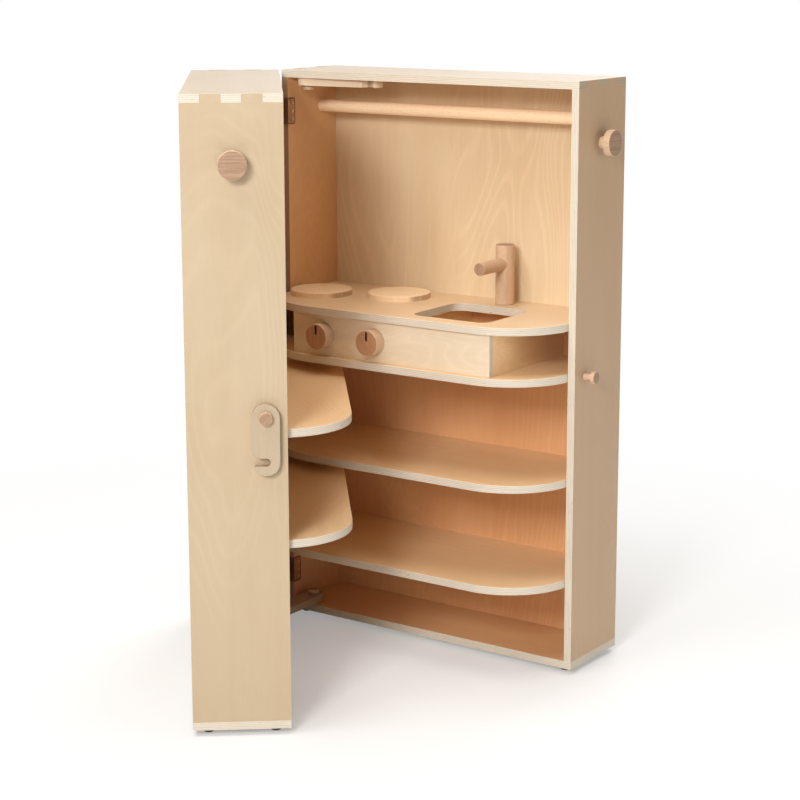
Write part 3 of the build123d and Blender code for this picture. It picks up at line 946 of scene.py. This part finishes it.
def screw_head_grid(radius, height, recess, rings=14, turns=48):
    """A domed screw head with a cross recess, as rings of points about its own axis.

    The radius r runs over the rings and the angle a over the turns. The top is a dome
    h * (1 - 0.45 * (r / R) ** 2), lowered by the recess where the point lies in either arm of
    the cross, |x| or |y| under the arm's half width and r under its reach, with soft borders.
    The last ring drops to the seat.
    """
    share = np.concatenate([np.linspace(0.0, 1.0, rings) ** 0.9, [1.0]])
    angle = np.linspace(0.0, 2.0 * np.pi, turns, endpoint=False)
    r = share[:, None] * radius
    x = r * np.cos(angle)
    y = r * np.sin(angle)
    dome = height * (1.0 - 0.45 * (r / radius) ** 2) * np.ones_like(x)
    arm = 0.15 * radius
    reach = 0.62 * radius
    border = 0.04 * radius
    near_x = 1.0 / (1.0 + np.exp((np.abs(x) - arm) / border))
    near_y = 1.0 / (1.0 + np.exp((np.abs(y) - arm) / border))
    inside = 1.0 / (1.0 + np.exp((r - reach) / border))
    z = dome - recess * np.maximum(near_x, near_y) * inside
    z[-1] = 0.0
    return np.stack([x, y, z], axis=-1)


def ring_faces(rings, turns, middle):
    """Faces of points that lie ring by ring, from the inmost ring outwards.

    Point t of ring r has the number r * turns + t. Quads join each ring to the next, and triangles
    join the inmost ring to the middle point, whose number is given.
    """
    ring = np.arange(rings - 1)[:, None] * turns
    turn = np.arange(turns)
    after = (turn + 1) % turns
    quads = np.stack([ring + turn, ring + turns + turn, ring + turns + after, ring + after], axis=-1)
    fan = np.stack([np.full(turns, middle), turn, after], axis=-1)
    return quads.reshape(-1, 4), fan


def closed_disc(grid):
    """Points and faces of a ring grid, its inmost ring closed to one point and its base to another."""
    rings, turns = grid.shape[:2]
    points = np.concatenate([grid[1:].reshape(-1, 3), grid[:1, 0], [[0.0, 0.0, 0.0]]])
    quads, top = ring_faces(rings - 1, turns, len(points) - 2)
    last = (rings - 2) * turns
    turn = np.arange(turns)
    base = np.stack([np.full(turns, len(points) - 1), last + (turn + 1) % turns, last + turn], axis=-1)
    return points, quads, np.concatenate([top, base])


def new_piece(name, points, faces, body, material):
    """Makes a smooth mesh piece from arrays of points and faces, and lets it ride on a body."""
    mesh = bpy.data.meshes.new(name)
    mesh.from_pydata(points.tolist(), [], [face for group in faces for face in group.tolist()])
    mesh.validate()
    mesh.polygons.foreach_set("use_smooth", np.full(len(mesh.polygons), True))
    mesh.materials.append(material)
    piece = bpy.data.objects.new(name, mesh)
    bpy.context.scene.collection.objects.link(piece)
    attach(piece, body)
    return piece


def separate_spots(node, across):
    """The middles of a node's separate solids, one above another, on their faces along a direction.

    The points farthest along the direction are sorted by height and parted at each wide step.
    """
    points = vertices(node)
    along = points @ np.array(across)
    tips = points[along > along.max() - FLUSH]
    heights = np.sort(tips[:, 2])
    groups = np.split(heights, np.flatnonzero(np.diff(heights) > SPOT_STEP) + 1)
    return [
        tips[(tips[:, 2] >= group.min() - FLUSH / 10) & (tips[:, 2] <= group.max() + FLUSH / 10)].mean(0)
        for group in groups
    ]


class HingesOperator(bpy.types.Operator):
    """Finishes the hinges in bronzed steel, and gives their screws domed heads with cross recesses."""

    bl_idname = "play_kitchen.hinges"
    bl_label = "Hinges"

    def execute(self, context):
        metal = context.scene.play_kitchen_metal
        bronze = tuple(metal.bronze)
        screw = bronzed("screw_steel", tuple(metal.screw), SCREW_ROUGHNESS, SCREW_SEED)
        pin = bronzed("pin_steel", tuple(metal.bronze_edge), STEEL_ROUGHNESS, PIN_SEED)
        points, quads, fans = closed_disc(screw_head_grid(SCREW_RADIUS, SCREW_HEIGHT, metal.recess))
        for place in HINGE_PLACES:
            dress(f"{place}_hinge_pin", pin)
            ease(f"{place}_hinge_pin", METAL_EASE, 1)
        for side, axes in (("kitchen", KITCHEN), ("door", DOOR)):
            width, depth, up = axes
            for place in HINGE_PLACES:
                node = f"{place}_hinge_{side}_leaf"
                leaf = bronzed(f"{node}_steel", bronze, STEEL_ROUGHNESS, LEAF_SEED, node, axes, metal)
                dress(node, leaf)
                ease(node, METAL_EASE, 1)
            node = f"{side}_hinge_screws"
            dress(node, screw)
            turn = np.array(Matrix((depth, up, width)).transposed())
            spots = separate_spots(node, width)
            clouds = [points @ turn.T + spot for spot in spots]
            shift = (np.arange(len(spots)) * len(points))[:, None, None]
            new_piece(
                f"{side}_screw_heads",
                np.concatenate(clouds),
                ((quads[None] + shift).reshape(-1, 4), (fans[None] + shift).reshape(-1, 3)),
                f"{side}_half",
                screw,
            )
        for node in ("left_knob_bolt", "right_knob_bolt"):
            dress(node, screw)
        return {"FINISHED"}


class FeetOperator(bpy.types.Operator):
    """Finishes the round feet in dark brown rubber."""

    bl_idname = "play_kitchen.feet"
    bl_label = "Feet"

    def execute(self, context):
        colour = tuple(context.scene.play_kitchen_metal.foot)
        shader = Shader("foot_rubber")
        grain = shader.noise(shader.place, RUBBER_GRAIN, detail=3.0)
        tone = shader.mix(
            shader.ramp(grain, ((0.3, 0.0), (0.7, 1.0))), tinted(colour, 0.8), tinted(colour, 1.3)
        )
        normal = shader.bump(grain, RUBBER_DEPTH)
        material = shader.finish(Base_Color=tone, Roughness=RUBBER_ROUGHNESS, Normal=normal)
        for node in ("kitchen_feet", "door_feet"):
            dress(node, material)
        return {"FINISHED"}


def studio_white(scene, ambient):
    """A white world for the camera, which lights the object evenly at a lower level."""
    world = bpy.data.worlds.new("studio")
    scene.world = world
    world.use_nodes = True
    tree = world.node_tree
    tree.nodes.clear()
    output = tree.nodes.new("ShaderNodeOutputWorld")
    seen = tree.nodes.new("ShaderNodeBackground")
    seen.inputs["Color"].default_value = (*WHITE, 1.0)
    seen.inputs["Strength"].default_value = 1.0
    light = tree.nodes.new("ShaderNodeBackground")
    light.inputs["Color"].default_value = (*WARM, 1.0)
    light.inputs["Strength"].default_value = ambient
    path = tree.nodes.new("ShaderNodeLightPath")
    mix = tree.nodes.new("ShaderNodeMixShader")
    tree.links.new(path.outputs["Is Camera Ray"], mix.inputs[0])
    tree.links.new(light.outputs[0], mix.inputs[1])
    tree.links.new(seen.outputs[0], mix.inputs[2])
    tree.links.new(mix.outputs[0], output.inputs["Surface"])


def soft_lamp(name, azimuth, elevation, distance, size, power, colour):
    """A square soft lamp aimed at the object's middle.

    The azimuth is counted from the front toward the right and the elevation up from level, both in
    degrees.
    """
    turn, rise = math.radians(azimuth), math.radians(elevation)
    away = Vector((math.sin(turn) * math.cos(rise), -math.cos(turn) * math.cos(rise), math.sin(rise)))
    lamp = bpy.data.lights.new(name, "AREA")
    lamp.shape = "SQUARE"
    lamp.size = size
    lamp.energy = power
    lamp.color = colour
    holder = bpy.data.objects.new(name, lamp)
    holder.location = OBJECT_MIDDLE + away * distance
    holder.rotation_euler = away.to_track_quat("Z", "Y").to_euler()
    bpy.context.scene.collection.objects.link(holder)


class StageOperator(bpy.types.Operator):
    """Sets the floor, the lamps and the camera."""

    bl_idname = "play_kitchen.stage"
    bl_label = "Stage"

    def execute(self, context):
        scene = context.scene
        stage = scene.play_kitchen_stage
        scene.view_settings.view_transform = "Standard"
        self.floor(stage)
        studio_white(scene, stage.ambient)
        for name, (azimuth, elevation, distance, size, colour) in LAMPS.items():
            power = getattr(stage, f"{name}_power")
            soft_lamp(f"{name}_lamp", azimuth, elevation, distance, size, power, colour)
        self.camera(scene, stage)
        return {"FINISHED"}

    def floor(self, stage):
        """A round floor that fades to plain white for the camera, away from the object.

        Its points are (r * cos(a), r * sin(a), 0), with the radius r over the rings and the angle a
        over the turns.
        """
        angle = np.linspace(0.0, 2.0 * np.pi, FLOOR_TURNS, endpoint=False)
        radius = np.array(FLOOR_RINGS)[:, None]
        x, y = radius * np.cos(angle), radius * np.sin(angle)
        grid = np.stack([x, y, np.zeros_like(x)], axis=-1)
        points = np.concatenate([grid.reshape(-1, 3), [[0.0, 0.0, 0.0]]])
        quads, middle = ring_faces(len(FLOOR_RINGS), FLOOR_TURNS, len(points) - 1)
        mesh = bpy.data.meshes.new("floor")
        mesh.from_pydata(points.tolist(), [], quads.tolist() + middle.tolist())
        floor = bpy.data.objects.new("floor", mesh)
        bpy.context.scene.collection.objects.link(floor)
        shader = Shader("floor_paper")
        grain = shader.noise(shader.place, PAPER_GRAIN)
        tone = shader.mix(grain, (stage.floor,) * 3, (stage.floor * 1.01,) * 3)
        shader.finish(Base_Color=tone, Roughness=0.9, Specular_IOR_Level=0.0)
        tree = shader.tree
        white = tree.nodes.new("ShaderNodeEmission")
        white.inputs["Strength"].default_value = 1.0
        path = tree.nodes.new("ShaderNodeLightPath")
        reach = shader.math("MULTIPLY", shader.length(shader.place), 1.0 / FADE_LENGTH)
        fade = shader.ramp(reach, ((0.1, 0.3), (0.4, 1.0)))
        seen = shader.math("MAXIMUM", path.outputs["Is Camera Ray"], path.outputs["Is Glossy Ray"])
        mix = tree.nodes.new("ShaderNodeMixShader")
        tree.links.new(shader.math("MULTIPLY", fade, seen), mix.inputs[0])
        tree.links.new(shader.surface.outputs[0], mix.inputs[1])
        tree.links.new(white.outputs[0], mix.inputs[2])
        tree.links.new(mix.outputs[0], shader.output.inputs["Surface"])
        mesh.materials.append(shader.material)

    def camera(self, scene, stage):
        """A camera at the photograph's angle, placed from the kitchen half's own corner."""
        data = bpy.data.cameras.new("camera")
        data.sensor_fit = "HORIZONTAL"
        data.sensor_width = SENSOR_WIDTH
        data.lens = stage.focal_pixels / FRAME_PIXELS * SENSOR_WIDTH
        data.shift_y = CAMERA_SHIFT
        data.clip_end = 50.0
        yaw, pitch, roll = (math.radians(angle) for angle in CAMERA_ANGLES)
        level = math.cos(pitch)
        forward = Vector((-math.sin(yaw) * level, math.cos(yaw) * level, math.sin(pitch)))
        turn = forward.to_track_quat("-Z", "Y").to_matrix() @ Matrix.Rotation(roll, 3, "Z")
        holder = bpy.data.objects.new("camera", data)
        holder.location = low_point("kitchen_bottom_panel", KITCHEN) + CAMERA_OFFSET
        holder.rotation_euler = turn.to_euler()
        scene.collection.objects.link(holder)
        scene.camera = holder


class PlayKitchenPanel(bpy.types.Panel):
    """Lists the play kitchen's settings and steps."""

    bl_idname = "VIEW3D_PT_play_kitchen"
    bl_label = "Play kitchen"
    bl_space_type = "VIEW_3D"
    bl_region_type = "UI"
    bl_category = "Play kitchen"

    def draw(self, context):
        layout = self.layout
        for settings in (
            context.scene.play_kitchen_wood,
            context.scene.play_kitchen_metal,
            context.scene.play_kitchen_stage,
        ):
            box = layout.box()
            for name in settings.bl_rna.properties.keys():
                if name not in ("rna_type", "name"):
                    box.prop(settings, name)
        for operator in OPERATORS:
            layout.operator(operator.bl_idname)


SETTINGS = {
    "play_kitchen_wood": WoodSettings,
    "play_kitchen_metal": MetalSettings,
    "play_kitchen_stage": StageSettings,
}
OPERATORS = (
    PanelsOperator,
    BoardsOperator,
    TurnedOperator,
    BarsOperator,
    HingesOperator,
    FeetOperator,
    StageOperator,
)


def register():
    for settings in SETTINGS.values():
        bpy.utils.register_class(settings)
    for operator in OPERATORS:
        bpy.utils.register_class(operator)
    bpy.utils.register_class(PlayKitchenPanel)
    for name, settings in SETTINGS.items():
        setattr(bpy.types.Scene, name, PointerProperty(type=settings))


def unregister():
    for name in SETTINGS:
        delattr(bpy.types.Scene, name)
    bpy.utils.unregister_class(PlayKitchenPanel)
    for operator in reversed(OPERATORS):
        bpy.utils.unregister_class(operator)
    for settings in reversed(SETTINGS.values()):
        bpy.utils.unregister_class(settings)


def main():
    register()
    bpy.ops.play_kitchen.panels()
    bpy.ops.play_kitchen.boards()
    bpy.ops.play_kitchen.turned()
    bpy.ops.play_kitchen.bars()
    bpy.ops.play_kitchen.hinges()
    bpy.ops.play_kitchen.feet()
    bpy.ops.play_kitchen.stage()


if __name__ == "__main__":
    main()
